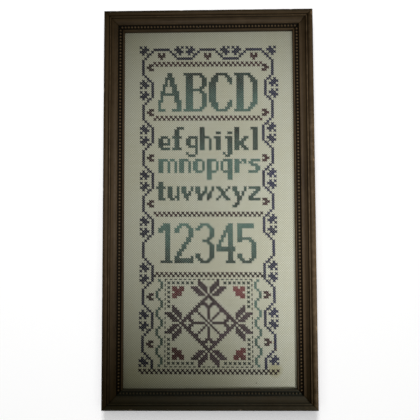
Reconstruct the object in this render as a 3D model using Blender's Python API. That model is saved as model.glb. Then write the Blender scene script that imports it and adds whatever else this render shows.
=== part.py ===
"""A cross stitch sampler stretched over a board in a narrow mitred wooden frame.

The frame lies on its back with the stitched face up. X runs across the picture, Y up the
picture and Z out of its face. The origin is the middle of the back, on the surface below.
"""
import math

import bmesh
import bpy
from mathutils import Matrix

# The cloth sets the size: fourteen stitches to the inch across, and a little closer up the cloth
STITCH_ACROSS = 0.0254 / 14
STITCH_UP = 0.983 * STITCH_ACROSS
OPENING_WIDTH = 72.3 * STITCH_ACROSS
OPENING_HEIGHT = 154.5 * STITCH_UP

# The frame's moulding, measured across its face and up from its back
FACE = 0.0155
DEPTH = 0.0160
REBATE_WIDTH = 0.0050
REBATE_DEPTH = 0.0066
BACK_CHAMFER = 0.0004
PICTURE_WIDTH = OPENING_WIDTH + 2 * FACE
PICTURE_HEIGHT = OPENING_HEIGHT + 2 * FACE

# Members of the moulding, from its outer edge inwards: places across the face and heights
BAND_SHOULDER = 0.0134
BAND_CREST_AT = 0.0025
BAND_WIDTH = 0.0041
BAND_FOOT = 0.0145
FILLET_AT = 0.00495
FILLET_HALF = 0.0006
FILLET_BED = 0.0143
FILLET_RISE = 0.00065
COVE_START = 0.0057
COVE_END = 0.00985
COVE_TOP = 0.0139
COVE_DROP = 0.0018
ARRIS_START = 0.00995
ARRIS_END = 0.0104
ARRIS_RISE = 0.0002
BEAD_AT = 0.01245
BEAD_HALF = 0.0011
BEAD_BED = 0.0109
BEAD_RISE = 0.0012
BEAD_GROOVE = 0.0006
LIP_AT = 0.0148
LIP_RISE = 0.0008

# What the rebate holds, and the play that every touching pair of pieces keeps
CLOTH_THICKNESS = 0.0010
BOARD_THICKNESS = 0.0030
PLAY = 0.0003

# Each rail's name, the side of the picture that it makes, and its turn about Z
RAILS = (
    ("rail_bottom", (0, -PICTURE_HEIGHT / 2), PICTURE_WIDTH, 0),
    ("rail_right", (PICTURE_WIDTH / 2, 0), PICTURE_HEIGHT, 90),
    ("rail_top", (0, PICTURE_HEIGHT / 2), PICTURE_WIDTH, 180),
    ("rail_left", (-PICTURE_WIDTH / 2, 0), PICTURE_HEIGHT, 270),
)
SAW_STOCK = 0.06
SPARE_LENGTH = 0.004

# Colours in linear light, with roughness
WALNUT_STAIN = ((0.045, 0.027, 0.015), 0.48)
EVENWEAVE_CREAM = ((0.50, 0.50, 0.40), 0.92)
GREY_CARD = ((0.33, 0.27, 0.19), 0.95)


def clear_scene():
    """Remove whatever objects the file opened with."""
    for old in list(bpy.data.objects):
        bpy.data.objects.remove(old, do_unlink=True)


def new_collection(name):
    """A collection of this name, linked to the scene."""
    collection = bpy.data.collections.new(name)
    bpy.context.scene.collection.children.link(collection)
    return collection


def finish(name, colour_and_roughness):
    """A plain material of one colour."""
    colour, roughness = colour_and_roughness
    material = bpy.data.materials.new(name)
    material.use_nodes = True
    shader = material.node_tree.nodes["Principled BSDF"]
    shader.inputs["Base Color"].default_value = (*colour, 1.0)
    shader.inputs["Roughness"].default_value = roughness
    shader.inputs["Metallic"].default_value = 0.0
    material.diffuse_color = (*colour, 1.0)
    return material


def arc(centre, radii, start, end, steps):
    """Points along an elliptical arc, its angles in degrees."""
    points = []
    for step in range(steps + 1):
        angle = math.radians(start + (end - start) * step / steps)
        points.append((centre[0] + radii[0] * math.cos(angle), centre[1] + radii[1] * math.sin(angle)))
    return points


def moulding_outline():
    """The moulding's section: distance in from the outer edge, and height above the back."""
    cove_run = COVE_END - COVE_START
    cove_foot = COVE_TOP - COVE_DROP
    cove_turn = 2 * math.atan(COVE_DROP / cove_run)
    cove_radius = cove_run / math.sin(cove_turn)
    section = [(BACK_CHAMFER, 0), (0, BACK_CHAMFER)]
    section += arc((BAND_CREST_AT, BAND_SHOULDER), (BAND_CREST_AT, DEPTH - BAND_SHOULDER), 180, 90, 5)
    section += arc((BAND_CREST_AT, BAND_FOOT), (BAND_WIDTH - BAND_CREST_AT, DEPTH - BAND_FOOT), 72, 0, 4)
    section += arc((FILLET_AT, FILLET_BED), (FILLET_HALF, FILLET_RISE), 180, 0, 6)
    section += arc(
        (COVE_END, cove_foot + cove_radius), (cove_radius, cove_radius), 270 - math.degrees(cove_turn), 270, 8
    )
    section += [(ARRIS_START, cove_foot + ARRIS_RISE), (ARRIS_END, cove_foot + ARRIS_RISE)]
    section += [(BEAD_AT - BEAD_HALF - BEAD_GROOVE, BEAD_BED)]
    section += arc((BEAD_AT, BEAD_BED), (BEAD_HALF, BEAD_RISE), 180, 0, 8)
    section += arc((LIP_AT, BEAD_BED), (FACE - LIP_AT, LIP_RISE), 180, 0, 6)
    section += [(FACE, REBATE_DEPTH), (FACE - REBATE_WIDTH, REBATE_DEPTH), (FACE - REBATE_WIDTH, 0)]
    return section


def moulding_length(name, length, collection):
    """A straight length of moulding along its own X, its outer edge on Y = 0."""
    outline = bpy.data.curves.new(name, "CURVE")
    outline.dimensions = "2D"
    outline.fill_mode = "BOTH"
    outline.extrude = length / 2
    section = moulding_outline()
    spline = outline.splines.new("POLY")
    spline.points.add(len(section) - 1)
    for point, (across, height) in zip(spline.points, section):
        point.co = (across, height, 0, 1)
    spline.use_cyclic_u = True
    drawn = bpy.data.objects.new(name + " outline", outline)
    collection.objects.link(drawn)

    # The curve's X, Y and extrusion become the rail's Y, Z and X
    stand_up = Matrix(((0, 0, 1, 0), (1, 0, 0, 0), (0, 1, 0, 0), (0, 0, 0, 1)))
    graph = bpy.context.evaluated_depsgraph_get()
    mesh = bpy.data.meshes.new_from_object(drawn.evaluated_get(graph))
    bpy.data.objects.remove(drawn, do_unlink=True)
    mesh.transform(stand_up)
    work = bmesh.new()
    work.from_mesh(mesh)
    bmesh.ops.remove_doubles(work, verts=work.verts, dist=0.00001)
    bmesh.ops.recalc_face_normals(work, faces=work.faces)
    work.to_mesh(mesh)
    work.free()
    mesh.name = name
    rail = bpy.data.objects.new(name, mesh)
    collection.objects.link(rail)
    return rail


def mitre(rail, length, end, cutters):
    """Saw one end of a rail at 45 degrees, half the play short of the corner's diagonal."""
    slant = 1 / math.sqrt(2)
    bpy.ops.mesh.primitive_cube_add(size=SAW_STOCK)
    cutter = bpy.context.active_object
    cutter.name = rail.name + (" mitre right" if end > 0 else " mitre left")
    for home in list(cutter.users_collection):
        home.objects.unlink(cutter)
    cutters.objects.link(cutter)
    reach = SAW_STOCK / 2 - PLAY / 2
    cutter.parent = rail
    cutter.location = (end * (length / 2 + slant * reach), slant * reach, DEPTH / 2)
    cutter.rotation_euler = (0, 0, end * math.radians(45))
    cutter.hide_render = True
    cutter.display_type = "WIRE"
    cut = rail.modifiers.new(cutter.name, "BOOLEAN")
    cut.operation = "DIFFERENCE"
    cut.solver = "EXACT"
    cut.object = cutter


def frame_rails(collection, cutters):
    """The four mitred rails, each turned to its side of the picture."""
    for name, place, length, turn in RAILS:
        rail = moulding_length(name, length + 2 * SPARE_LENGTH, collection)
        rail.location = (*place, 0)
        rail.rotation_euler = (0, 0, math.radians(turn))
        rail.data.materials.append(finish(name + " stain", WALNUT_STAIN))
        for end in (1, -1):
            mitre(rail, length, end, cutters)


def slab(name, top, thickness, look, collection):
    """A flat rectangle that lies in the rebate with play all round."""
    width = OPENING_WIDTH + 2 * (REBATE_WIDTH - PLAY)
    height = OPENING_HEIGHT + 2 * (REBATE_WIDTH - PLAY)
    bpy.ops.mesh.primitive_cube_add(size=1)
    piece = bpy.context.active_object
    piece.name = name
    piece.data.name = name
    for home in list(piece.users_collection):
        home.objects.unlink(piece)
    collection.objects.link(piece)
    piece.data.transform(Matrix.Diagonal((width, height, thickness, 1)))
    piece.location = (0, 0, top - thickness / 2)
    piece.data.materials.append(finish(name + " finish", look))
    return piece


clear_scene()
sampler = new_collection("framed cross stitch sampler")
saw_cuts = new_collection("mitre cutters")
frame_rails(sampler, saw_cuts)

# The cloth lies just under the lip, and the board that it is stretched over just under the cloth
cloth_top = REBATE_DEPTH - PLAY
board_top = cloth_top - CLOTH_THICKNESS - PLAY
slab("stitched_cloth", cloth_top, CLOTH_THICKNESS, EVENWEAVE_CREAM, sampler)
slab("mount_board", board_top, BOARD_THICKNESS, GREY_CARD, sampler)
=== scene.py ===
import math

import bpy
import numpy as np
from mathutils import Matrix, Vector, noise


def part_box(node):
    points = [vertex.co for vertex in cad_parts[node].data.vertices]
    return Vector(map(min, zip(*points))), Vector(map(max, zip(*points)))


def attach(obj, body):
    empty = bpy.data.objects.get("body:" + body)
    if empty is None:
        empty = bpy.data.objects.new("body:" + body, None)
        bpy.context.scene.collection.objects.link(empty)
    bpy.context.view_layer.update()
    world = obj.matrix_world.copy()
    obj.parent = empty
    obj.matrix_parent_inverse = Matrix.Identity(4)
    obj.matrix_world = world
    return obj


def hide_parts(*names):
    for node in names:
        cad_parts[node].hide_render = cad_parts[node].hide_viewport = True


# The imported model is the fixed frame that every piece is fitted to. The sampler lies on its back, face up:
# X runs across the picture, Y up the picture, Z out of the cloth.
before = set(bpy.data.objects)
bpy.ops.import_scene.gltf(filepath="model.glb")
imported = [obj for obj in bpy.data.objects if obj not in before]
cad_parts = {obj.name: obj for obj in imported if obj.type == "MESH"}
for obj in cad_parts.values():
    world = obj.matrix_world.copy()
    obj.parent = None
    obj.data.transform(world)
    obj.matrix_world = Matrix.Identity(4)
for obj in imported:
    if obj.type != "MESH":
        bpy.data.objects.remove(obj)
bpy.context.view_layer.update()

# The board that the cloth is stretched over: a 3 mm sheet of plain grey-brown card, cut to lie in the
# frame's rebate with a little play. Its solid is right as it is, so it stays and only gets its card surface.
MM = 0.001


def add_node(tree, kind, feeds=None, **settings):
    """Place a shader node, set its options, and feed its inputs with values or with other nodes' sockets."""
    node = tree.nodes.new(kind)
    for option, value in settings.items():
        setattr(node, option, value)
    for name, value in (feeds or {}).items():
        if isinstance(value, bpy.types.NodeSocket):
            tree.links.new(value, node.inputs[name])
        else:
            node.inputs[name].default_value = value
    return node


def start_material(name, roughness):
    """A new material with its Principled shader, ready to be given its surface."""
    material = bpy.data.materials.new(name)
    material.use_nodes = True
    surface = material.node_tree.nodes["Principled BSDF"]
    surface.inputs["Roughness"].default_value = roughness
    return material, material.node_tree, surface


def colour_blend(tree, share, first, second, how="MIX"):
    """The colour between two others; share, first and second are values or sockets."""
    blend = add_node(tree, "ShaderNodeMix", data_type="RGBA", blend_type=how)
    for name, value in (("Factor_Float", share), ("A_Color", first), ("B_Color", second)):
        socket = next(s for s in blend.inputs if s.identifier == name)
        if isinstance(value, bpy.types.NodeSocket):
            tree.links.new(value, socket)
        else:
            socket.default_value = value
    return next(s for s in blend.outputs if s.identifier == "Result_Color")


def placed(tree, place, **settings):
    """A place on the surface, stretched or turned as the settings say, for textures that have a direction."""
    return add_node(tree, "ShaderNodeMapping", {"Vector": place, **settings}).outputs[0]


def arithmetic(tree, operation, *values, clamp=False):
    """One Math node on up to three values or sockets."""
    feeds = dict(enumerate(values))
    return add_node(tree, "ShaderNodeMath", feeds, operation=operation, use_clamp=clamp).outputs[0]


def share_between(tree, value, low, high):
    """0 where value is at or below low, 1 where it is at or above high, smooth between."""
    feeds = {"Value": value, "From Min": low, "From Max": high}
    return add_node(tree, "ShaderNodeMapRange", feeds, interpolation_type="SMOOTHSTEP").outputs["Result"]


def cloudiness(tree, place, scale, detail=3.0, roughness=0.55):
    """Fractal noise from 0 to 1; scale is in features to the metre."""
    feeds = {"Vector": place, "Scale": scale, "Detail": detail, "Roughness": roughness}
    return add_node(tree, "ShaderNodeTexNoise", feeds).outputs["Fac"]


def age_toning_group():
    """Shader group for soft cloudy darkening with age, used by card, cloth and thread."""
    tree = bpy.data.node_groups.new("age toning", "ShaderNodeTree")
    tree.interface.new_socket("Scale", in_out="INPUT", socket_type="NodeSocketFloat")
    tree.interface.new_socket("Toning", in_out="OUTPUT", socket_type="NodeSocketFloat")
    entry = add_node(tree, "NodeGroupInput")
    place = add_node(tree, "ShaderNodeTexCoord").outputs["Object"]
    broad = cloudiness(tree, place, entry.outputs["Scale"], 4.0)
    fine = cloudiness(tree, place, arithmetic(tree, "MULTIPLY", entry.outputs["Scale"], 7.0), 2.0)
    both = arithmetic(tree, "MULTIPLY_ADD", fine, 0.3, arithmetic(tree, "MULTIPLY", broad, 0.7))
    add_node(tree, "NodeGroupOutput", {"Toning": share_between(tree, both, 0.35, 0.65)})
    return tree


age_toning = age_toning_group()


def toning_at(tree, scale):
    """The age toning group placed in a material, at so many clouds to the metre."""
    return add_node(tree, "ShaderNodeGroup", {"Scale": scale}, node_tree=age_toning).outputs["Toning"]


def grey_card():
    """Pulp board: mottled grey-brown with darker fibres and a faint felt texture."""
    material, tree, surface = start_material("grey card", 0.93)
    place = add_node(tree, "ShaderNodeTexCoord").outputs["Object"]
    body = colour_blend(tree, toning_at(tree, 40.0), (0.36, 0.30, 0.21, 1), (0.29, 0.235, 0.16, 1))
    fibre_place = placed(tree, place, Scale=(420.0, 1500.0, 900.0))
    fibres = share_between(tree, cloudiness(tree, fibre_place, 1.0, 2.0), 0.62, 0.72)
    flecked = colour_blend(tree, arithmetic(tree, "MULTIPLY", fibres, 0.6), body, (0.13, 0.10, 0.07, 1))
    tree.links.new(flecked, surface.inputs["Base Color"])
    felt = cloudiness(tree, place, 1800.0, 4.0, 0.7)
    bump = add_node(tree, "ShaderNodeBump", {"Height": felt, "Strength": 0.5, "Distance": 0.08 * MM})
    tree.links.new(bump.outputs[0], surface.inputs["Normal"])
    tree.links.new(share_between(tree, felt, -1.2, 1.1), surface.inputs["Roughness"])
    return material


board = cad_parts["mount_board"]
board.data.materials.clear()
board.data.materials.append(grey_card())

# The cloth: cream evenweave, two of its threads to a stitch, stretched flat over the board with its edges
# hidden under the frame's lip. It is the CAD sheet drawn finer, as uneven as hand-stretched cloth is.
STITCH_ACROSS = 0.0254 / 14
STITCH_UP = 0.983 * STITCH_ACROSS
OPENING_WIDTH = 72.3 * STITCH_ACROSS
OPENING_HEIGHT = 154.5 * STITCH_UP
CLOTH_CELL = 1.5 * MM
CLOTH_TOP = 6.15 * MM
CLOTH_UNDER = 5.04 * MM
CLOTH_UNEVEN = 0.06 * MM


# Where the chart lies on the cloth: holes are counted from the stitching's top left corner. The stitches
# draw the cloth in a little, most at its waist, and it was stretched slightly off square.
CHART_COLUMNS = 59
CHART_ROWS = 142
CHART_MIDDLE = (-0.67 * MM, -0.31 * MM)
DRAWN_IN = 0.003
DRAWN_IN_AT_WAIST = 0.0118
STRETCHED_UP = 1.0025
OFF_SQUARE = 0.0058


def chart_point(column, row):
    """Place on the cloth of a hole of the chart."""
    across = (column - CHART_COLUMNS / 2) * STITCH_ACROSS
    up = (CHART_ROWS / 2 - row) * STITCH_UP
    drawn_in = DRAWN_IN + DRAWN_IN_AT_WAIST * (1 - (2 * row / CHART_ROWS - 1) ** 2)
    x = CHART_MIDDLE[0] + across * (1 - drawn_in)
    return x, CHART_MIDDLE[1] + up * STRETCHED_UP - across * OFF_SQUARE


def weave_place(x, y):
    """Threads of the cloth counted across and down to a place, two to a stitch: chart_point turned round."""
    across = x - CHART_MIDDLE[0]
    row = CHART_ROWS / 2 - (y - CHART_MIDDLE[1] + across * OFF_SQUARE) / STRETCHED_UP / STITCH_UP
    drawn_in = DRAWN_IN + DRAWN_IN_AT_WAIST * (1 - (2 * row / CHART_ROWS - 1) ** 2)
    column = CHART_COLUMNS / 2 + across / (1 - drawn_in) / STITCH_ACROSS
    return np.column_stack([2 * column, 2 * row, np.zeros(len(x))])


def cloth_top_at(x, y):
    """Height of the stretched cloth's face, for arrays of places."""
    slack = np.sin(61 * x + 23 * y + 0.7) + np.sin(-37 * x + 44 * y + 2.1) + 0.5 * np.sin(118 * x - 70 * y)
    pull = np.sin(150 * x + 9 * np.sin(20 * y)) * np.sin(11 * y + 1.0)
    return CLOTH_TOP + CLOTH_UNEVEN * (0.6 * slack + 0.35 * pull)


def finish_piece(name, points, faces, material, slot, **attributes):
    """Make a smooth mesh piece with its point attributes, and let it ride on the frame's one body."""
    mesh = bpy.data.meshes.new(name)
    mesh.from_pydata(points, [], faces)
    for label, values in attributes.items():
        values = np.asarray(values, dtype=np.float32)
        if values.ndim == 1:
            mesh.attributes.new(label, "FLOAT", "POINT").data.foreach_set("value", values)
        else:
            mesh.attributes.new(label, "FLOAT_VECTOR", "POINT").data.foreach_set("vector", values.ravel())
    mesh.validate()
    mesh.shade_smooth()
    mesh.materials.append(material)
    piece = bpy.data.objects.new(name, mesh)
    bpy.context.scene.collection.objects.link(piece)
    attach(piece, "root")
    return piece


def sheet_grid(low, high):
    """Points and faces of the cloth: a fine face, an underside, and the thin edge between them."""
    across = max(2, round((high[0] - low[0]) / CLOTH_CELL)) + 1
    along = max(2, round((high[1] - low[1]) / CLOTH_CELL)) + 1
    x, y = np.meshgrid(np.linspace(low[0], high[0], across), np.linspace(low[1], high[1], along))
    x, y = x.ravel(), y.ravel()
    face = np.stack([x, y, cloth_top_at(x, y)], axis=1)
    under = np.stack([x, y, np.full(x.shape, CLOTH_UNDER)], axis=1)
    count = across * along
    faces = []
    for j in range(along - 1):
        for i in range(across - 1):
            a = j * across + i
            faces.append((a, a + 1, a + 1 + across, a + across))
            faces.append((count + a, count + a + across, count + a + 1 + across, count + a + 1))
    rim = list(range(across))
    rim += [j * across + across - 1 for j in range(1, along)]
    rim += [(along - 1) * across + i for i in range(across - 2, -1, -1)]
    rim += [j * across for j in range(along - 2, 0, -1)]
    for here, there in zip(rim, rim[1:] + rim[:1]):
        faces.append((there, here, here + count, there + count))
    return np.concatenate([face, under]), faces


# Specks of old dirt and rust: column and row of the chart, size and colour
SPECKS = (
    (57.6, 131.5, 1.6 * MM, (0.50, 0.34, 0.16, 1)),
    (57.0, 128.6, 1.1 * MM, (0.52, 0.40, 0.22, 1)),
    (49.4, 145.6, 0.7 * MM, (0.12, 0.11, 0.08, 1)),
    (14.6, 39.5, 0.5 * MM, (0.14, 0.12, 0.10, 1)),
    (59.6, 22.0, 0.5 * MM, (0.15, 0.13, 0.10, 1)),
)


def evenweave():
    """Cream plain weave toned by age, painted shade between threads, a damp stain in one corner, a few
    specks.
    """
    material, tree, surface = start_material("cream evenweave", 0.9)
    surface.inputs["Sheen Weight"].default_value = 0.12
    surface.inputs["Sheen Roughness"].default_value = 0.6
    surface.inputs["Specular IOR Level"].default_value = 0.2
    place = add_node(tree, "ShaderNodeTexCoord").outputs["Object"]
    counted = add_node(tree, "ShaderNodeAttribute", attribute_name="weave").outputs["Vector"]
    split = add_node(tree, "ShaderNodeSeparateXYZ", {"Vector": counted})
    stray = cloudiness(tree, place, 900.0, 2.0)
    turns = []
    for axis in ("X", "Y"):
        strayed = arithmetic(tree, "MULTIPLY_ADD", stray, 0.3, split.outputs[axis])
        turns.append(arithmetic(tree, "SINE", arithmetic(tree, "MULTIPLY", strayed, math.pi)))
    ridges = [arithmetic(tree, "ABSOLUTE", turn) for turn in turns]
    over = arithmetic(tree, "MULTIPLY", turns[0], turns[1])
    warp = arithmetic(tree, "MULTIPLY", ridges[0], arithmetic(tree, "MULTIPLY_ADD", over, 0.3, 0.7))
    weft = arithmetic(tree, "MULTIPLY", ridges[1], arithmetic(tree, "MULTIPLY_ADD", over, -0.3, 0.7))
    threads = arithmetic(tree, "MAXIMUM", warp, weft)
    fuzz = cloudiness(tree, place, 5200.0, 3.0, 0.7)
    height = arithmetic(tree, "MULTIPLY_ADD", fuzz, 0.25, threads)

    slub_place = placed(tree, place, Scale=(25.0, 1150.0, 1.0))
    slubs = share_between(tree, cloudiness(tree, slub_place, 1.0, 2.0), 0.45, 0.75)
    cream = colour_blend(tree, toning_at(tree, 16.0), (0.725, 0.74, 0.615, 1), (0.68, 0.68, 0.53, 1))
    cream = colour_blend(tree, arithmetic(tree, "MULTIPLY", slubs, 0.4), cream, (0.80, 0.805, 0.69, 1))
    # Between the threads the cloth is painted darker, as painted shade.
    painted_shade_in_gaps = arithmetic(tree, "SUBTRACT", 1.0, share_between(tree, threads, 0.25, 0.85))
    cream = colour_blend(tree, arithmetic(tree, "MULTIPLY", painted_shade_in_gaps, 0.35), cream, (0.20, 0.195, 0.135, 1))

    # A weft on top is painted darker than a warp, as painted shade of side light: the weave shows as a fine
    # check
    painted_shade_on_wefts = share_between(tree, arithmetic(tree, "MULTIPLY", over, -1.0), -0.2, 0.5)
    cream = colour_blend(tree, arithmetic(tree, "MULTIPLY", painted_shade_on_wefts, 0.8), cream, (0.36, 0.355, 0.26, 1))

    # The damp stain by the lower right corner of the stitching, and the specks
    stain_at = (*chart_point(57.2, 140.2), CLOTH_TOP)
    blot = add_node(tree, "ShaderNodeVectorMath", {0: place, 1: stain_at}, operation="DISTANCE")
    ragged_edge = cloudiness(tree, place, 420.0, 4.0)
    ragged = arithmetic(tree, "MULTIPLY_ADD", ragged_edge, -6.0 * MM, blot.outputs["Value"])
    damp = arithmetic(tree, "SUBTRACT", 1.0, share_between(tree, ragged, -1.0 * MM, 4.5 * MM))
    cream = colour_blend(tree, arithmetic(tree, "MULTIPLY", damp, 0.55), cream, (0.36, 0.33, 0.14, 1))
    for column, row, size, tint in SPECKS:
        x, y = chart_point(column, row)
        near = add_node(tree, "ShaderNodeVectorMath", {0: place, 1: (x, y, CLOTH_TOP)}, operation="DISTANCE")
        beyond = share_between(tree, near.outputs["Value"], size * 0.4, size)
        spot = arithmetic(tree, "SUBTRACT", 1.0, beyond)
        cream = colour_blend(tree, arithmetic(tree, "MULTIPLY", spot, 0.7), cream, tint)
    tree.links.new(cream, surface.inputs["Base Color"])
    bump = add_node(tree, "ShaderNodeBump", {"Height": height, "Strength": 0.55, "Distance": 0.14 * MM})
    tree.links.new(bump.outputs[0], surface.inputs["Normal"])
    rough = add_node(tree, "ShaderNodeMapRange", {"Value": fuzz, "To Min": 0.82, "To Max": 0.98}).outputs[0]
    tree.links.new(rough, surface.inputs["Roughness"])
    return material


cloth_low, cloth_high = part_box("stitched_cloth")
points, faces = sheet_grid(cloth_low, cloth_high)
threads = weave_place(points[:, 0], points[:, 1])
cloth = finish_piece("evenweave_cloth", points, faces, evenweave(), "cloth", weave=threads)
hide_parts("stitched_cloth")

# The border vine and its flowers: cross stitch in indigo stranded cotton, two strands in the needle. Each
# cross is a leg from lower left to upper right and a second leg laid over it, all worked in the same order.
STRAND_HALF_WIDTH = 0.22 * MM
STRAND_HALF_HEIGHT = 0.15 * MM
STRAND_SPACING = 0.21 * MM
UNDER_LEG_RISE = 0.16 * MM
UPPER_LEG_RISE = 0.44 * MM
LINE_RISE = 0.24 * MM
LINE_SHADE = 0.1
HOLE_DEPTH = 0.06 * MM
HOLE_STRAY = 0.035 * MM
LEVEL_STRAY = 0.02 * MM
ARCH_FLATNESS = 0.4
PAST_THE_HOLE = 0.09
RING_PLACES = (0.0, 0.05, 0.3, 0.7, 0.95, 1.0)
RING_SIDES = 5


def lay_strands(starts, ends, rises, shades, random):
    """Pairs of cotton strands from hole to hole: points, faces and the two thread attributes."""
    starts, ends = np.asarray(starts, float), np.asarray(ends, float)
    starts = starts + random.normal(0, HOLE_STRAY, starts.shape)
    ends = ends + random.normal(0, HOLE_STRAY, ends.shape)
    rises = np.asarray(rises) * random.uniform(0.85, 1.15, len(starts))
    beyond = PAST_THE_HOLE * (ends - starts)
    starts, ends = starts - beyond, ends + beyond
    run = ends - starts
    length = np.linalg.norm(run, axis=1, keepdims=True)
    along = run / length
    sideways = np.stack([-along[:, 1], along[:, 0]], axis=1)
    points, threads, tones = [], [], []
    for side in (-1, 1):
        spread = random.uniform(0.85, 1.15, len(starts))
        plump = random.uniform(0.9, 1.12, len(starts))
        level = random.normal(0, LEVEL_STRAY, len(starts))
        fleck = random.uniform(0, 1, len(starts))
        for t in RING_PLACES:
            arch = math.sin(math.pi * t) ** ARCH_FLATNESS
            apart = side * STRAND_SPACING * (0.85 + 0.15 * arch) * spread
            centre = starts + run * t + sideways * apart[:, None]
            ground = cloth_top_at(centre[:, 0], centre[:, 1])
            height = ground + arch * (rises + level) - (1 - arch) * HOLE_DEPTH
            girth = (0.85 + 0.15 * arch) * plump
            for corner in range(RING_SIDES):
                angle = 2 * math.pi * (corner + 0.5) / RING_SIDES
                out = STRAND_HALF_WIDTH * math.cos(angle) * girth
                up = STRAND_HALF_HEIGHT * math.sin(angle) * girth
                place = centre + sideways * out[:, None]
                points.append(np.column_stack([place, height + up]))
                threads.append(np.column_stack([length[:, 0] * t, np.full(len(starts), angle), fleck]))
                tones.append(shades)
    rings = len(RING_PLACES)
    per_strand = rings * RING_SIDES
    count = len(starts)
    points = np.array(points).reshape(2, per_strand, count, 3).transpose(2, 0, 1, 3).reshape(-1, 3)
    threads = np.array(threads).reshape(2, per_strand, count, 3).transpose(2, 0, 1, 3).reshape(-1, 3)
    tones = np.array(tones).reshape(2, per_strand, count).transpose(2, 0, 1).ravel()
    faces = []
    for strand in range(2 * count):
        base = strand * per_strand
        for ring in range(rings - 1):
            for corner in range(RING_SIDES):
                a = base + ring * RING_SIDES + corner
                b = base + ring * RING_SIDES + (corner + 1) % RING_SIDES
                faces.append((a, a + RING_SIDES, b + RING_SIDES, b))
        faces.append(tuple(range(base, base + RING_SIDES)))
        faces.append(tuple(range(base + per_strand - 1, base + per_strand - RING_SIDES - 1, -1)))
    return points, faces, threads, tones


def thread_twist_group():
    """Shader group for the lie of a cotton strand: its two plies, its fine fibres and its own fleck."""
    tree = bpy.data.node_groups.new("thread twist", "ShaderNodeTree")
    tree.interface.new_socket("Ply Length", in_out="INPUT", socket_type="NodeSocketFloat")
    for name in ("Plies", "Fibres", "Fleck"):
        tree.interface.new_socket(name, in_out="OUTPUT", socket_type="NodeSocketFloat")
    entry = add_node(tree, "NodeGroupInput")
    thread = add_node(tree, "ShaderNodeAttribute", attribute_name="thread").outputs["Vector"]
    split = add_node(tree, "ShaderNodeSeparateXYZ", {"Vector": thread})
    turns = arithmetic(tree, "DIVIDE", split.outputs["X"], entry.outputs["Ply Length"])
    lay = arithmetic(tree, "MULTIPLY_ADD", turns, 2 * math.pi, split.outputs["Y"])
    plies = arithmetic(tree, "ABSOLUTE", arithmetic(tree, "SINE", lay))
    place = add_node(tree, "ShaderNodeTexCoord").outputs["Object"]
    fibres = cloudiness(tree, place, 9000.0, 3.0, 0.7)
    add_node(tree, "NodeGroupOutput", {"Plies": plies, "Fibres": fibres, "Fleck": split.outputs["Z"]})
    return tree


thread_twist = thread_twist_group()


def stranded_cotton(name, dark, light, wander=0.25):
    """Mercerised cotton floss that runs from one colour to another by each stitch's shade."""
    material, tree, surface = start_material(name, 0.62)
    surface.inputs["Sheen Weight"].default_value = 0.15
    surface.inputs["Sheen Roughness"].default_value = 0.4
    surface.inputs["Specular IOR Level"].default_value = 0.3
    twist = add_node(tree, "ShaderNodeGroup", {"Ply Length": 0.9 * MM}, node_tree=thread_twist).outputs
    shade = add_node(tree, "ShaderNodeAttribute", attribute_name="shade").outputs["Fac"]
    toned = arithmetic(tree, "MULTIPLY_ADD", twist["Fleck"], wander, shade)
    toned = arithmetic(tree, "SUBTRACT", toned, wander / 2, clamp=True)
    colour = colour_blend(tree, toned, (*dark, 1), (*light, 1))
    fallow = arithmetic(tree, "MULTIPLY", toning_at(tree, 55.0), 0.25)
    colour = colour_blend(tree, fallow, colour, (0.8, 0.78, 0.72, 1), "MULTIPLY")
    # Between the plies the thread is painted darker, as painted shade.
    ply_shade_range = {"Value": twist["Plies"], "To Min": 0.4, "To Max": 0.0}
    painted_shade_between_plies = add_node(tree, "ShaderNodeMapRange", ply_shade_range).outputs[0]
    colour = colour_blend(tree, painted_shade_between_plies, colour, (0.3, 0.3, 0.3, 1), "MULTIPLY")
    tree.links.new(colour, surface.inputs["Base Color"])
    height = arithmetic(tree, "MULTIPLY_ADD", twist["Fibres"], 0.4, twist["Plies"])
    bump = add_node(tree, "ShaderNodeBump", {"Height": height, "Strength": 0.6, "Distance": 0.05 * MM})
    tree.links.new(bump.outputs[0], surface.inputs["Normal"])
    roughness_range = {"Value": twist["Fibres"], "To Min": 0.5, "To Max": 0.75}
    rough = add_node(tree, "ShaderNodeMapRange", roughness_range).outputs[0]
    tree.links.new(rough, surface.inputs["Roughness"])
    return material


def work_crosses(name, cells, material, shade, seed):
    """One piece of cross stitch from its chart cells; shade gives each cell's place between two colours."""
    random = np.random.default_rng(seed)
    cells = sorted(set(cells), key=lambda cell: (cell[1], cell[0]))
    starts, ends, rises, shades = [], [], [], []
    for column, row in cells:
        tone = shade(column, row)
        starts.append(chart_point(column, row + 1))
        ends.append(chart_point(column + 1, row))
        starts.append(chart_point(column + 1, row + 1))
        ends.append(chart_point(column, row))
        rises += [UNDER_LEG_RISE, UPPER_LEG_RISE]
        shades += [tone, tone]
    points, faces, threads, tones = lay_strands(starts, ends, rises, shades, random)
    stitched.append(finish_piece(name, points, faces, material, "cloth", thread=threads, shade=tones))


def work_lines(name, lines, material, seed):
    """One piece of straight stitches, each from hole to hole."""
    random = np.random.default_rng(seed)
    starts = [chart_point(*line[0]) for line in lines]
    ends = [chart_point(*line[1]) for line in lines]
    rises = [LINE_RISE] * len(lines)
    shades = [LINE_SHADE] * len(lines)
    points, faces, threads, tones = lay_strands(starts, ends, rises, shades, random)
    stitched.append(finish_piece(name, points, faces, material, "cloth", thread=threads, shade=tones))


LAST_COLUMN = 58
PAINTED_LIGHT_PER_COLUMN = 0.009


def patchy(column, row):
    """The uneven take-up of one dye, from stitch to stitch and over a few rows."""
    return 0.45 + 0.4 * noise.noise(Vector((column * 0.23, row * 0.19, 0.5)))


def patchy_with_painted_light(column, row):
    """A dye's uneven take-up, painted paler towards the right-hand side as painted light."""
    return patchy(column, row) + PAINTED_LIGHT_PER_COLUMN * (column - LAST_COLUMN)


stitched = []
indigo = stranded_cotton("indigo stranded cotton", (0.011, 0.012, 0.045), (0.035, 0.039, 0.128))

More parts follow.
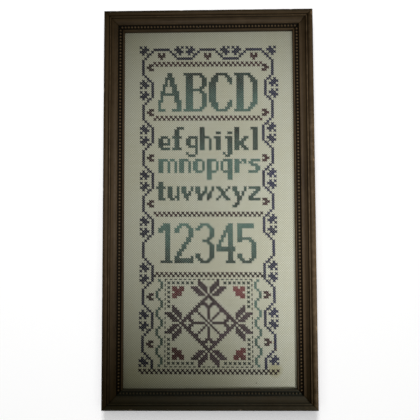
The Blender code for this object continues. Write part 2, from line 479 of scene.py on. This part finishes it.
# Top edge: runs of seven on two levels, joined by three diagonal stitches, with an open corner at each end
vine = [(column, 1) for start in (6, 26, 46) for column in range(start, start + 7)]
vine += [(column, 5) for start in (16, 36) for column in range(start, start + 7)]
for repeat in (0, 20):
    for step in range(3):
        vine += [(13 + step + repeat, 2 + step), (25 - step + repeat, 2 + step)]
for step in range(4):
    vine += [(5 - step, 2 + step), (LAST_COLUMN - 5 + step, 2 + step)]
# Left edge: a bay every twenty rows
for start in range(6, 140, 20):
    vine += [(1, row) for row in range(start, start + 7)]
    vine += [(2 + step, start + 7 + step) for step in range(3)]
    vine += [(5, row) for row in range(start + 10, min(start + 17, 140))]
    if start + 20 < 140:
        vine += [(4 - step, start + 17 + step) for step in range(3)]
# Right edge: the first bay comes a row early, and the rest keep to that, as the stitcher worked them
vine += [(57, row) for row in range(6, 13)]
vine += [(56, 13), (55, 14)]
vine += [(54, row) for row in range(15, 22)]
vine += [(55, 22), (56, 23), (57, 24)]
for start in range(25, 140, 20):
    vine += [(57, row) for row in range(start, start + 7)]
    vine += [(56 - step, start + 7 + step) for step in range(3)]
    vine += [(53, row) for row in range(start + 10, min(start + 17, 140))]
    if start + 20 < 140:
        vine += [(54 + step, start + 17 + step) for step in range(3)]
work_crosses("border_vine", vine, indigo, patchy_with_painted_light, 11)

# A flower is nine crosses: on the sides it leans to the vine, and along the top it is turned on its end
SIDE_FLOWER = ((1, -1), (0, 0), (1, 0), (2, 0), (1, 1), (2, 1), (3, 1), (0, 2), (2, 2))
flowers = []
stems = []
for start in range(16, 140, 20):
    flowers += [(column, start + row) for column, row in SIDE_FLOWER]
    stems.append(((4, start - 1), (3, start)))
    if start < 120:
        flowers += [(column, start + 6 - row) for column, row in SIDE_FLOWER]
        stems.append(((4, start + 8), (3, start + 7)))
for start in range(15, 140, 20):
    shift = 1 if start == 15 else 0
    flowers += [(LAST_COLUMN + shift - column, start + row) for column, row in SIDE_FLOWER]
    stems.append(((55 + shift, start - 1), (56 + shift, start)))
    if start < 120:
        flowers += [(LAST_COLUMN + shift - column, start + 6 - row) for column, row in SIDE_FLOWER]
        stems.append(((55 + shift, start + 8), (56 + shift, start + 7)))
for start in (16, 36):
    flowers += [(start + row, column) for column, row in SIDE_FLOWER]
    flowers += [(start + 6 - row, column) for column, row in SIDE_FLOWER]
    stems += [((start - 1, 4), (start, 3)), ((start + 8, 4), (start + 7, 3))]
flowers += [(56 + row, column) for column, row in SIDE_FLOWER]
flowers += [(2 - row, column) for column, row in SIDE_FLOWER]
stems += [((55, 4), (56, 3)), ((4, 4), (3, 3))]
work_crosses("border_flowers", flowers, indigo, patchy_with_painted_light, 12)
work_lines("flower_stems", stems, indigo, 13)

# The small hearts in the border's bays and the five zigzag lines: cross stitch in maroon stranded cotton
# whose dye runs from wine to brown along its length.
maroon = stranded_cotton("maroon stranded cotton", (0.018, 0.008, 0.012), (0.125, 0.030, 0.046), 0.45)
SIDE_HEART = ((1, 0), (2, 0), (0, 1), (1, 1), (1, 2), (2, 2))
hearts = []
for row in (8, 28, 48, 68, 108, 128):
    hearts += [(3 + across, row + down) for across, down in SIDE_HEART]
    right_row = row if row < 68 else row - 1
    hearts += [(LAST_COLUMN - 3 - across, right_row + down) for across, down in SIDE_HEART]
for column in (8, 28, 48):
    hearts += [(column, 3), (column + 2, 3), (column, 4), (column + 1, 4), (column + 2, 4), (column + 1, 5)]


def heart_tone(column, row):
    """The small hearts' uneven dye, with painted light making it a little paler towards the right-hand side.
    """
    return 0.75 * patchy(column + 40, row) + 0.005 * (column - LAST_COLUMN / 2)


work_crosses("small_hearts", hearts, maroon, heart_tone, 21)

zigzags = []
for row, first, last in ((7, 6, 52), (73, 6, 52), (140, 0, 58)):
    zigzags += [(column, row + column % 2) for column in range(first, last + 1)]
for row in (31, 99):
    zigzags += [(column, row + (column + 1) % 2) for column in range(6, 53)]


def zigzag_tone(column, row):
    """The zigzags' uneven dye, with painted shade making it a little darker towards the bottom."""
    return patchy(column * 2, row + 9) - 0.0035 * row


work_crosses("zigzag_lines", zigzags, maroon, zigzag_tone, 22)

# The lettering: plain capitals, small letters and numerals charted for this part, in green stranded cotton
# that is shaded from dark to light along its length, so each line of letters fades down its height.
CAPITALS = {
    "A": "....XX....*2/...XXXX.../...X.XX...*2/..XX.XXX../..X...XX..*2/.XX...XXX./.XXXXXXXX./"
         ".X.....XX.*2/XX.....XXX/X.......XX*3/XXX...XXXX",
    "B": "XXXXXXXX../.XXX...XX./.XXX....XX*4/.XXX...XX./.XXXXXXX../.XXX...XX./.XXX....XX*6/.XXX...XX./"
         "XXXXXXXX..",
    "C": "...XXXXX../..XX...XX./.XXX....XX*2/XXX......X/XXX.......*7/XXX......X/.XXX....XX*2/"
         "..XX...XX./...XXXXX..",
    "D": "XXXXXXX.../.XXX..XX../.XXX...XX./.XXX...XXX/.XXX....XX*9/.XXX...XXX/.XXX...XX./.XXX..XX../"
         "XXXXXXX...",
}
SMALL_LETTERS = {
    "e": ".XXX./XX..X*2/XXXXX/XX.../.XXXX",
    "f": "^4..XXX/.XX..*3/XXXX./.XX..*4/XXXX.",
    "g": ".XXXX/XX..X*3/.XXXX/....X*2/X...X/.XXX.",
    "h": "^4XX...*4/XXXX./XX..X*5",
    "i": "^2.XX/.../XXX/.XX*5",
    "j": "^2..XX/..../.XXX/..XX*6/X.XX/.XX.",
    "k": "^4XX....*4/XX..XX/XX.XX./XXXX..*2/XX.XX./XX..XX",
    "l": "^4XXX/.XX*9",
    "m": "XXXX.XX./XX..X..X*5",
    "n": "XXXX./XX..X*5",
    "o": ".XXX./XX..X*4/.XXX.",
    "p": "XXXX./XX..X*4/XXXX./XX...*3",
    "q": ".XXXX/X..XX*4/.XXXX/...XX*3",
    "r": "XX.XX/XXX.X/XX...*4",
    "s": ".XXXX/XX.../.XXX./...XX*2/XXXX.",
    "t": "^2.XX.*2/XXXX/.XX.*4/.XXX",
    "u": "XX..X*4/XX.XX/.XX.X",
    "v": "XX..X*2/XX.X./.XXX./.XX../..X..",
    "w": "XX..X..X*2/XX.XX.X./.XXX.XX./.XX..XX./.XX..X..",
    "x": "XX...X/.XX.X./..XX..*2/.X.XX./X...XX",
    "y": "XX...X*2/.XX.X.*2/..XX..*2/..X.../.XX.../XX....",
    "z": "XXXXX/...XX/..XX./.XX../XX.../XXXXX",
}
NUMERALS = {
    "1": "..XXX./.XXXX./XXXXX./XX.XX./...XX.*12/.XXXXX",
    "2": "..XXXX../.XX..XX./XX....XX*2/......XX*2/.....XX.*2/....XX../...XX...*2/..XX..../.XX.....*2/"
         "XX.....X/XXXXXXXX*2",
    "3": "..XXXX../.XX..XX./XX....XX/......XX*3/.....XX./...XXX../.....XX./......XX*4/XX....XX*2/"
         ".XX..XX./..XXXX..",
    "4": ".....XX./....XXX.*2/...XXXX./...X.XX./..XX.XX./..X..XX./.XX..XX./.X...XX./XX...XX./"
         "XXXXXXXX*2/.....XX.*4/....XXXX",
    "5": "XXXXXXX.*2/XX......*4/XXXXXX../XX...XX./......XX*5/XX....XX*2/.XX..XX./..XXXX..",
}


def set_line(letters, alphabet, top_row, gap):
    """Chart cells of a line of letters, centred on the cloth.

    In a letter's chart ^4 starts it four rows higher, and *3 after a row repeats that row three times in all.
    """
    drawn = []
    for letter in letters:
        rows = alphabet[letter]
        raised = 0
        if rows.startswith("^"):
            raised = int(rows[1])
            rows = rows[2:]
        repeats = [row.partition("*") for row in rows.split("/")]
        drawn.append((raised, [marks for marks, star, times in repeats for again in range(int(times or 1))]))
    width = sum(len(rows[0]) for raised, rows in drawn) + gap * (len(drawn) - 1)
    column = round((LAST_COLUMN + 1 - width) / 2)
    cells = []
    for raised, rows in drawn:
        for down, row in enumerate(rows):
            cells += [(column + i, top_row - raised + down) for i, mark in enumerate(row) if mark == "X"]
        column += len(rows[0]) + gap
    return cells


def fading(first_row, first_tone, last_row, last_tone):
    """Shade of a thread that changes down the chart, a little unevenly."""
    def tone(column, row):
        share = (row - first_row) / (last_row - first_row)
        return first_tone + (last_tone - first_tone) * share + 0.5 * (patchy(column + 90, row) - 0.45)
    return tone


shaded_green = stranded_cotton("shaded green stranded cotton", (0.013, 0.022, 0.022), (0.155, 0.30, 0.255))
# Each line: its piece, letters, alphabet and top row, how its thread is shaded, and its seed
LETTER_GAP = 1
LINES = (
    ("capital_letters", "ABCD", CAPITALS, 12, fading(11, 0.08, 29, 0.82), 31),
    ("letters_e_to_l", "efghijkl", SMALL_LETTERS, 40, fading(36, 0.12, 48, 0.42), 32),
    ("letters_m_to_s", "mnopqrs", SMALL_LETTERS, 50, fading(48, 0.76, 58, 0.8), 33),
    ("letters_t_to_z", "tuvwxyz", SMALL_LETTERS, 62, fading(60, 0.4, 70, 0.2), 34),
    ("numerals", "12345", NUMERALS, 78, fading(77, 0.92, 96, 0.16), 35),
)
for name, letters, alphabet, top_row, tone, seed in LINES:
    work_crosses(name, set_line(letters, alphabet, top_row, LETTER_GAP), shaded_green, tone, seed)

# The square panel: an eight-pointed star in plum, a rose heart in each corner, small dark green crosses, and
# a broken outline in straight stitch. The star is worked out from one eighth of its chart.
STAR_CENTRE = (29, 120)
plum = stranded_cotton("plum stranded cotton", (0.035, 0.018, 0.029), (0.122, 0.070, 0.098), 0.35)
rose = stranded_cotton("rose stranded cotton", (0.080, 0.012, 0.018), (0.30, 0.075, 0.085), 0.35)
bottle_green = stranded_cotton("bottle green stranded cotton", (0.020, 0.031, 0.029), (0.056, 0.082, 0.074))

eighth = [(0, 0)] + [(0, reach) for reach in range(2, 8)] + [(reach, reach) for reach in range(1, 6)]
eighth += [(0, 11), (0, 12), (1, 7), (1, 8), (1, 10), (1, 11), (2, 8), (2, 9), (2, 10), (3, 8), (3, 9)]
eighth += [(4, 7), (4, 8), (5, 6), (5, 7), (6, 6)]
PETAL = (
    (1, (13, 14, 15)),
    (2, (12, 14, 15, 16)),
    (3, (12, 13, 15, 16, 17)),
    (4, (12, 13, 14, 16, 17, 18)),
    (5, (13, 14, 15)),
    (6, (14, 15)),
    (7, (15,)),
)
for column, rows in PETAL:
    eighth += [(column, row) for row in rows]
star = []
for a, b in eighth:
    for across, down in ((a, b), (b, a)):
        star += [(STAR_CENTRE[0] + across * i, STAR_CENTRE[1] + down * j) for i in (-1, 1) for j in (-1, 1)]


def plum_with_painted_light(column, row):
    """The star's uneven dye, with painted light making it a little paler towards the right-hand side."""
    return patchy(column * 1.5 + 7, row) + 0.012 * (column - STAR_CENTRE[0])


work_crosses("panel_star", star, plum, plum_with_painted_light, 41)

CORNER_HEART = ("XX.XX", "XXXXX", ".XXX.", "XXXX.", "XX...")
corner_hearts = []
for down, row in enumerate(CORNER_HEART):
    for across, mark in enumerate(row):
        if mark == "X":
            corner_hearts += [
                (column, line)
                for column in (14 + across, LAST_COLUMN - 14 - across)
                for line in (105 + down, 135 - down)
            ]


def rose_with_painted_light(column, row):
    """The hearts' uneven dye, painted darker at the lower left and paler at the upper right, as painted light
    and shade.
    """
    return patchy(column * 3, row * 2) + 0.02 * (column - STAR_CENTRE[0]) - 0.02 * (row - STAR_CENTRE[1])


work_crosses("corner_hearts", corner_hearts, rose, rose_with_painted_light, 42)

panel_crosses = [(column, row) for column in range(12, 24, 2) for row in (103, 137)]
panel_crosses += [(LAST_COLUMN - column, row) for column in range(12, 24, 2) for row in (103, 137)]
panel_crosses += [(column, row) for column in (12, 46) for row in (*range(103, 115, 2), *range(127, 139, 2))]
work_crosses("panel_crosses", panel_crosses, bottle_green, patchy, 43)

outline = []
for dash in range(19):
    outline += [((11 + 2 * dash, row), (12 + 2 * dash, row)) for row in (102, 139)]
    outline += [((column, 102 + 2 * dash), (column, 103 + 2 * dash)) for column in (11, 48)]
work_lines("panel_outline", outline, bottle_green, 44)

# The wavy line down each side of the panel: cross stitch in light sea green stranded cotton.
sea_green = stranded_cotton("sea green stranded cotton", (0.060, 0.115, 0.095), (0.24, 0.43, 0.37))
waves = [(8, row) for row in range(102, 139, 4)]
for start in range(103, 138, 8):
    waves += [(9, row) for row in range(start, start + 3)]
for start in range(107, 134, 8):
    waves += [(7, row) for row in range(start, start + 3)]
waves += [(LAST_COLUMN - column, row) for column, row in waves]
work_crosses("side_waves", waves, sea_green, patchy_with_painted_light, 51)

# The frame: four lengths of narrow hardwood moulding, stained walnut brown and mitred at the corners. Each
# has a rounded outer band, a fillet, a hollow, a fine arris, a row of turned beads and a lip over the cloth.
FACE = 15.5 * MM
DEPTH = 16.0 * MM
REBATE_WIDTH = 5.0 * MM
REBATE_DEPTH = 6.6 * MM
BACK_CHAMFER = 0.4 * MM
BEAD_AT = 12.45 * MM
BEAD_BED = 10.6 * MM
BEAD_PITCH = 2.54 * MM
BEAD_HALF_SIZE = (0.98 * MM, 1.0 * MM, 1.6 * MM)
MITRE_GAP = 0.06 * MM
RAIL_STEP = 1.2 * MM
EDGE_ZONE = (2.5 * MM, 11 * MM)
EDGE_CORNER = (0.7 * MM, 15 * MM)
EDGE_REACH = 2.2 * MM
EDGE_WEAR = 0.35 * MM
HAND_PLANED = 0.03 * MM
BAND_WIDTH = 4.2 * MM
BAND_FOOT = 12 * MM
HOLLOW = (6.0 * MM, 10.4 * MM)
HOLLOW_LIGHTENED = 0.1
CHANNEL_DIRT_AND_SHADE = 0.3
LIP_DIRT_AND_SHADE = -0.12
PICTURE_WIDTH = OPENING_WIDTH + 2 * FACE
PICTURE_HEIGHT = OPENING_HEIGHT + 2 * FACE


def arc(centre, radii, start, end, steps):
    """Points along an elliptical arc, its angles in degrees and its sizes in millimetres."""
    angles = np.radians(np.linspace(start, end, steps + 1))
    across = centre[0] + radii[0] * np.cos(angles)
    up = centre[1] + radii[1] * np.sin(angles)
    return [(a * MM, u * MM) for a, u in zip(across, up)]


def moulding_section():
    """The moulding's section from its back edge up and over its face: distance in, and height."""
    section = [(BACK_CHAMFER, 0), (0, BACK_CHAMFER), (0, 4 * MM), (0, 8 * MM), (0, 11.5 * MM)]
    section += arc((2.5, 13.4), (2.5, 2.6), 180, 90, 9)
    section += arc((2.5, 14.5), (1.6, 1.5), 78, 0, 7)
    section += arc((4.95, 14.3), (0.6, 0.65), 180, 0, 8)
    section += arc((9.85, 17.78), (5.68, 5.68), 223, 270, 12)
    section += arc((10.15, 12.0), (0.3, 0.25), 160, 20, 4)
    section += [(10.75 * MM, 11.4 * MM), (11.15 * MM, BEAD_BED), (13.7 * MM, BEAD_BED)]
    section += arc((14.8, 10.9), (0.7, 0.8), 180, 0, 8)
    section += [(FACE, 8 * MM), (FACE, REBATE_DEPTH), (FACE - REBATE_WIDTH, REBATE_DEPTH)]
    section += [(FACE - REBATE_WIDTH, 0), (FACE - 8 * MM, 0), (FACE - 11 * MM, 0)]
    return np.array(section)


def exposure(section):
    """How much each point of the section stands out (above 0) or lies back (below 0)."""
    before = section - np.roll(section, 1, axis=0)
    after = np.roll(section, -1, axis=0) - section
    turn = before[:, 1] * after[:, 0] - before[:, 0] * after[:, 1]
    turn = np.arcsin(np.clip(turn / np.maximum(np.hypot(*before.T) * np.hypot(*after.T), 1e-12), -1, 1))
    apart = np.linalg.norm(section[:, None] - section[None], axis=2)
    near = np.exp(-((apart / (0.55 * MM)) ** 2))
    return near @ turn / 1.2


def turned_bead(centre):
    """One bead that stands in the moulding's channel: points and faces, rounded above and closed below."""
    around, levels = 10, (-20, 12, 42, 68)
    points = []
    for level in levels:
        for step in range(around):
            angle = 2 * math.pi * step / around
            flat = math.cos(math.radians(level))
            points.append((flat * math.cos(angle), flat * math.sin(angle), math.sin(math.radians(level))))
    points.append((0, 0, 1))
    points = np.array(points) * BEAD_HALF_SIZE + centre
    faces = [tuple(range(around - 1, -1, -1))]
    for ring in range(len(levels) - 1):
        for step in range(around):
            a, b = ring * around + step, ring * around + (step + 1) % around
            faces.append((a, b, b + around, a + around))
    top = (len(levels) - 1) * around
    faces += [(top + step, top + (step + 1) % around, top + around) for step in range(around)]
    return points, faces


def moulding_rail(name, length, corner, turn, nicks, paler_band_ends, material):
    """One mitred rail with its beads. Nicks are knocks on the outer edge: place along, length and depth.

    paler_band_ends: the outer band painted paler at its first end and its last, as wear and painted
    highlight.
    """
    section = moulding_section()
    stands_out = exposure(section)
    steps = round(length / RAIL_STEP)
    points, crest, raw = [], [], []
    for step in range(steps + 1):
        share = step / steps
        for (inwards, up), out in zip(section, stands_out):
            first = inwards + MITRE_GAP
            along = first + share * (length - 2 * first)
            ripple_at = (along * 60, inwards * 200 + corner[0] * 40, up * 200 + corner[1] * 40)
            ripple = noise.noise(Vector(ripple_at))
            inwards_now = inwards
            up_now = up
            bare = 0.0
            if up > EDGE_ZONE[1] and inwards < EDGE_ZONE[0]:
                uneven = noise.noise(Vector((along * 110, corner[0] * 31, corner[1] * 17)))
                bite = max(0.0, uneven - 0.15) * EDGE_WEAR
                for place, reach, depth in nicks:
                    fade = max(0.0, 1 - abs(along - place) / reach)
                    bite = max(bite, depth * fade)
                    bare = max(bare, fade)
                away = abs(inwards - EDGE_CORNER[0]) + abs(up - EDGE_CORNER[1])
                corner_share = max(0.0, 1 - away / EDGE_REACH)
                inwards_now += bite * corner_share * 0.7
                up_now -= bite * corner_share
                bare *= corner_share
            if up > REBATE_DEPTH and out > 0:
                up_now += HAND_PLANED * ripple
            points.append((along - length / 2, inwards_now, min(up_now, DEPTH)))
            # The outer band is rubbed pale in patches, and painted paler towards its ends as wear and a
            # painted highlight at the lower right corner.
            if up > BAND_FOOT and inwards < BAND_WIDTH:
                out += 0.9 * noise.noise(Vector((along * 22, corner[0] * 23 + 5, corner[1] * 19)))
                out += paler_band_ends[0] + (paler_band_ends[1] - paler_band_ends[0]) * share
            # The hollow is painted lighter, most at its outer wall, and all inward of it darker, with dirt
            # and painted shade on the channel and lip.
            if HOLLOW[0] < inwards < HOLLOW[1] and up > REBATE_DEPTH:
                out += HOLLOW_LIGHTENED * (1.4 - (inwards - HOLLOW[0]) / (HOLLOW[1] - HOLLOW[0]))
            elif inwards > HOLLOW[1] and up > REBATE_DEPTH:
                out = min(out - CHANNEL_DIRT_AND_SHADE, LIP_DIRT_AND_SHADE)
            elif inwards < 1 * MM and up < BAND_FOOT:
                out = min(out, 0.0)
            crest.append(min(out, 0.4 * out))
            raw.append(bare)
    around = len(section)
    faces = [tuple(range(around - 1, -1, -1)), tuple(range(steps * around, (steps + 1) * around))]
    for step in range(steps):
        for i in range(around):
            a, b = step * around + i, step * around + (i + 1) % around
            faces.append((a, b, b + around, a + around))
    beads = int((length - 2 * BEAD_AT) / BEAD_PITCH)
    for bead in range(beads):
        along = (bead - (beads - 1) / 2) * BEAD_PITCH
        bead_points, bead_faces = turned_bead(np.array((along, BEAD_AT, BEAD_BED)))
        faces += [tuple(len(points) + i for i in face) for face in bead_faces]
        # A bead is rubbed pale at its top, and darkened at its foot with dirt and painted shade where it
        # meets the bed.
        rise = (bead_points[:, 2] - BEAD_BED) / BEAD_HALF_SIZE[2]
        points += [tuple(point) for point in bead_points]
        crest += list(1.7 * rise - 0.8)
        raw += [0.0] * len(bead_points)
    points = np.array(points)
    cos, sin = round(math.cos(math.radians(turn))), round(math.sin(math.radians(turn)))
    x = corner[0] + cos * points[:, 0] - sin * points[:, 1]
    y = corner[1] + sin * points[:, 0] + cos * points[:, 1]
    points = np.column_stack([x, y, points[:, 2]])
    return finish_piece(name, points, faces, material, "frame_wood", crest=crest, bare=raw)


def wood_grain_group():
    """Shader group for straight-grained hardwood: broad streaks, fine streaks and open pores."""
    tree = bpy.data.node_groups.new("wood grain", "ShaderNodeTree")
    tree.interface.new_socket("Turn", in_out="INPUT", socket_type="NodeSocketVector")
    for name in ("Streaks", "Pores"):
        tree.interface.new_socket(name, in_out="OUTPUT", socket_type="NodeSocketFloat")
    entry = add_node(tree, "NodeGroupInput")
    place = add_node(tree, "ShaderNodeTexCoord").outputs["Object"]
    turned = placed(tree, place, Rotation=entry.outputs["Turn"])
    broad = placed(tree, turned, Scale=(9.0, 330.0, 330.0))
    fine = placed(tree, turned, Scale=(40.0, 1700.0, 1700.0))
    short = placed(tree, turned, Scale=(260.0, 5200.0, 5200.0))
    streaks = arithmetic(tree, "MULTIPLY", cloudiness(tree, broad, 1.0), 0.6)
    streaks = arithmetic(tree, "MULTIPLY_ADD", cloudiness(tree, fine, 1.0), 0.4, streaks)
    pores = share_between(tree, cloudiness(tree, short, 1.0, 1.0), 0.66, 0.76)
    add_node(tree, "NodeGroupOutput", {"Streaks": share_between(tree, streaks, 0.3, 0.7), "Pores": pores})
    return tree


wood_grain = wood_grain_group()


def walnut_stain(name, turn, dust_and_sheen):
    """Walnut-stained wood: rubbed pale on crests, dirt and painted shade in recesses, dusty and painted
    cooler.
    """
    material, tree, surface = start_material(name, 0.45)
    surface.inputs["Specular IOR Level"].default_value = 0.14
    grain = add_node(tree, "ShaderNodeGroup", {"Turn": (0, 0, turn)}, node_tree=wood_grain).outputs
    place = add_node(tree, "ShaderNodeTexCoord").outputs["Object"]
    crest = add_node(tree, "ShaderNodeAttribute", attribute_name="crest").outputs["Fac"]
    bare = add_node(tree, "ShaderNodeAttribute", attribute_name="bare").outputs["Fac"]
    stain = colour_blend(tree, grain["Streaks"], (0.034, 0.0215, 0.0105, 1), (0.100, 0.063, 0.031, 1))
    worn = arithmetic(tree, "MULTIPLY", toning_at(tree, 28.0), 0.4)
    stain = colour_blend(tree, worn, stain, (0.120, 0.081, 0.045, 1))
    pores = arithmetic(tree, "MULTIPLY", grain["Pores"], 0.6)
    stain = colour_blend(tree, pores, stain, (0.012, 0.008, 0.005, 1))
    rub = cloudiness(tree, place, 240.0, 4.0, 0.65)
    rubbed = arithmetic(tree, "MULTIPLY_ADD", rub, 0.9, arithmetic(tree, "MULTIPLY", crest, 0.6))
    rubbed = share_between(tree, rubbed, 0.62, 1.05)
    stain = colour_blend(tree, arithmetic(tree, "MULTIPLY", rubbed, 0.8), stain, (0.190, 0.135, 0.082, 1))
    # Where the moulding lies back it is darkened to near black: dirt, and painted shade in the hollow, the
    # bead channel and at the beads' feet.
    dirt_and_painted_shade = share_between(tree, arithmetic(tree, "MULTIPLY", crest, -1.0), 0.05, 0.42)
    stain = colour_blend(tree, arithmetic(tree, "MULTIPLY", dirt_and_painted_shade, 0.92), stain, (0.006, 0.0045, 0.003, 1))
    # A dusty grey-green film over the stain; on the bottom rail it is heavier and is also a painted cool
    # reflection.
    dusty_painted_sheen = arithmetic(tree, "MULTIPLY_ADD", toning_at(tree, 45.0), 0.4 * dust_and_sheen, 0.8 * dust_and_sheen)
    stain = colour_blend(tree, dusty_painted_sheen, stain, (0.066, 0.076, 0.068, 1))
    chipped = share_between(tree, arithmetic(tree, "MULTIPLY_ADD", rub, 0.5, bare), 0.55, 0.8)
    stain = colour_blend(tree, chipped, stain, (0.24, 0.165, 0.095, 1))
    tree.links.new(stain, surface.inputs["Base Color"])
    gloss = arithmetic(tree, "MULTIPLY_ADD", rub, 0.25, 0.36)
    gloss = arithmetic(tree, "MULTIPLY_ADD", dirt_and_painted_shade, 0.25, gloss)
    tree.links.new(gloss, surface.inputs["Roughness"])
    height = arithmetic(tree, "MULTIPLY_ADD", grain["Streaks"], 0.35, arithmetic(tree, "MULTIPLY", rub, 0.3))
    height = arithmetic(tree, "SUBTRACT", height, arithmetic(tree, "MULTIPLY", grain["Pores"], 0.5))
    bump = add_node(tree, "ShaderNodeBump", {"Height": height, "Strength": 0.5, "Distance": 0.12 * MM})
    tree.links.new(bump.outputs[0], surface.inputs["Normal"])
    return material


along_x = walnut_stain("walnut stain, grain across the picture", 0.0, 0.05)
along_y = walnut_stain("walnut stain, grain up the picture", math.pi / 2, 0.0)
# The bottom rail's stain is the dustiest, and painted greyer and cooler as a painted cool reflection.
along_x_dust_and_sheen = walnut_stain("walnut stain under dust, grain across the picture", 0.0, 0.45)
# Each rail: its piece and node, length, middle of its outer edge, turn and surface, then its knocks and how
# much paler its outer band is painted at each end, for wear and a painted highlight at the lower right
# corner.
RAILS = (
    (
        "bottom_moulding", "rail_bottom", PICTURE_WIDTH, (0, -PICTURE_HEIGHT / 2), 0, along_x_dust_and_sheen,
        ((22 * MM, 2.5 * MM, 0.4 * MM), (104 * MM, 1.8 * MM, 0.5 * MM)),
        (-0.2, 0.5),
    ),
    (
        "right_moulding", "rail_right", PICTURE_HEIGHT, (PICTURE_WIDTH / 2, 0), 90, along_y,
        ((61 * MM, 3.0 * MM, 0.4 * MM), (188 * MM, 1.8 * MM, 0.5 * MM), (303 * MM, 3.0 * MM, 0.9 * MM)),
        (1.2, 0.1),
    ),
    (
        "top_moulding", "rail_top", PICTURE_WIDTH, (0, PICTURE_HEIGHT / 2), 180, along_x,
        ((17 * MM, 2.4 * MM, 0.7 * MM), (102 * MM, 2.2 * MM, 0.6 * MM), (152 * MM, 1.6 * MM, 0.5 * MM)),
        (0.0, -0.2),
    ),
    (
        "left_moulding", "rail_left", PICTURE_HEIGHT, (-PICTURE_WIDTH / 2, 0), 270, along_y,
        ((63 * MM, 2.6 * MM, 0.5 * MM), (140 * MM, 2.0 * MM, 0.4 * MM), (221 * MM, 1.8 * MM, 0.5 * MM)),
        (0.0, 0.2),
    ),
)
mouldings = []
for name, node, length, corner, turn, material, nicks, paler_band_ends in RAILS:
    rail = moulding_rail(name, length, corner, turn, nicks, paler_band_ends, material)
    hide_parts(node)
    mouldings.append(rail)

# The setting for the picture: a plain white floor under the sampler and soft lamps. The high lamp lights the
# whole sampler, the side lamp the cloth's right-hand part, and the low lamp the mouldings from the right. The
# floor has two lamps of its own, for its soft shadow. None of it is part of the object.
FLOOR_SIZE = 24.0
floor_mesh = bpy.data.meshes.new("floor")
half = FLOOR_SIZE / 2
floor_corners = [(-half, -half, 0), (half, -half, 0), (half, half, 0), (-half, half, 0)]
floor_mesh.from_pydata(floor_corners, [], [(0, 1, 2, 3)])
floor = bpy.data.objects.new("floor", floor_mesh)
floor.location.z = -0.02 * MM
bpy.context.scene.collection.objects.link(floor)
floor_paint, floor_tree, floor_surface = start_material("white floor", 0.9)
floor_surface.inputs["Base Color"].default_value = (0.85, 0.85, 0.85, 1)
floor_surface.inputs["Specular IOR Level"].default_value = 0.1
floor_surface.inputs["Emission Color"].default_value = (0.90, 0.91, 1, 1)
floor_surface.inputs["Emission Strength"].default_value = 0.29
floor_mesh.materials.append(floor_paint)
floor.visible_glossy = False

sampler_only = bpy.data.collections.new("lit by the high lamp")
cloth_only = bpy.data.collections.new("lit by the side lamp")
moulding_only = bpy.data.collections.new("lit by the low lamp")
floor_only = bpy.data.collections.new("lit by the floor's lamps")
for piece in (cloth, board, *stitched):
    sampler_only.objects.link(piece)
    cloth_only.objects.link(piece)
for rail in mouldings:
    sampler_only.objects.link(rail)
    moulding_only.objects.link(rail)
floor_only.objects.link(floor)


def hang_lamp(name, kind, place, aim, watts, colour, receivers, **settings):
    """A lamp at a place, turned to what it lights."""
    light = bpy.data.lights.new(name, kind)
    light.energy = watts
    light.color = colour
    for option, value in settings.items():
        setattr(light, option, value)
    lamp = bpy.data.objects.new(name, light)
    lamp.location = place
    lamp.rotation_euler = (Vector(aim) - Vector(place)).to_track_quat("-Z", "Y").to_euler()
    lamp.visible_camera = False
    lamp.light_linking.receiver_collection = receivers
    bpy.context.scene.collection.objects.link(lamp)


DAYLIGHT = (1.0, 1.0, 1.03)
LAMPLIGHT = (1.0, 0.95, 0.84)
hang_lamp(
    "high lamp", "SPOT", (0.040, 0.060, 0.725), (0.020, 0.019, 0.006), 10.9, DAYLIGHT, sampler_only,
    spot_size=math.radians(28.6), spot_blend=1.0, shadow_soft_size=0.04,
)
hang_lamp(
    "side lamp", "SPOT", (0.160, -0.220, 0.380), (0.286, -0.076, 0.006), 7.6, DAYLIGHT, cloth_only,
    spot_size=math.radians(87.1), spot_blend=1.0, shadow_soft_size=0.035,
)
hang_lamp(
    "low lamp", "SPOT", (0.400, -0.160, 0.260), (0.180, -0.030, 0.0), 5.7, LAMPLIGHT, moulding_only,
    spot_size=math.radians(62.0), spot_blend=1.0, shadow_soft_size=0.02,
)
hang_lamp("floor lamp", "AREA", (0.0, 0.9, 1.2), (0, 0, 0), 13.5, (1, 1, 1), floor_only, size=0.35)
hang_lamp("overhead floor lamp", "AREA", (0.0, 0.0, 1.2), (0, 0, 0), 7.5, (1, 1, 1), floor_only, size=1.4)

world = bpy.data.worlds.new("weak room light")
bpy.context.scene.world = world
world.use_nodes = True
world_surface = world.node_tree.nodes["Background"]
seen = add_node(world.node_tree, "ShaderNodeLightPath").outputs["Is Camera Ray"]
room_light = colour_blend(world.node_tree, seen, (0.087, 0.084, 0.050, 1), (0.9, 0.9, 0.9, 1))
world.node_tree.links.new(room_light, world_surface.inputs["Color"])

# The camera stands over the sampler, a little below its middle, and looks down at it.
PHOTO_PIXELS = 420
FOCAL_PIXELS = 750
SENSOR_WIDTH = 36.0
camera_data = bpy.data.cameras.new("camera")
camera_data.sensor_width = SENSOR_WIDTH
camera_data.lens = FOCAL_PIXELS / PHOTO_PIXELS * SENSOR_WIDTH
camera = bpy.data.objects.new("camera", camera_data)
camera.location = (0.0147, -0.0502, 0.5826)
camera.rotation_euler = (math.radians(4.73), math.radians(1.41), math.radians(-0.23))
bpy.context.scene.collection.objects.link(camera)
bpy.context.scene.camera = camera
bpy.context.scene.view_settings.view_transform = "Standard"
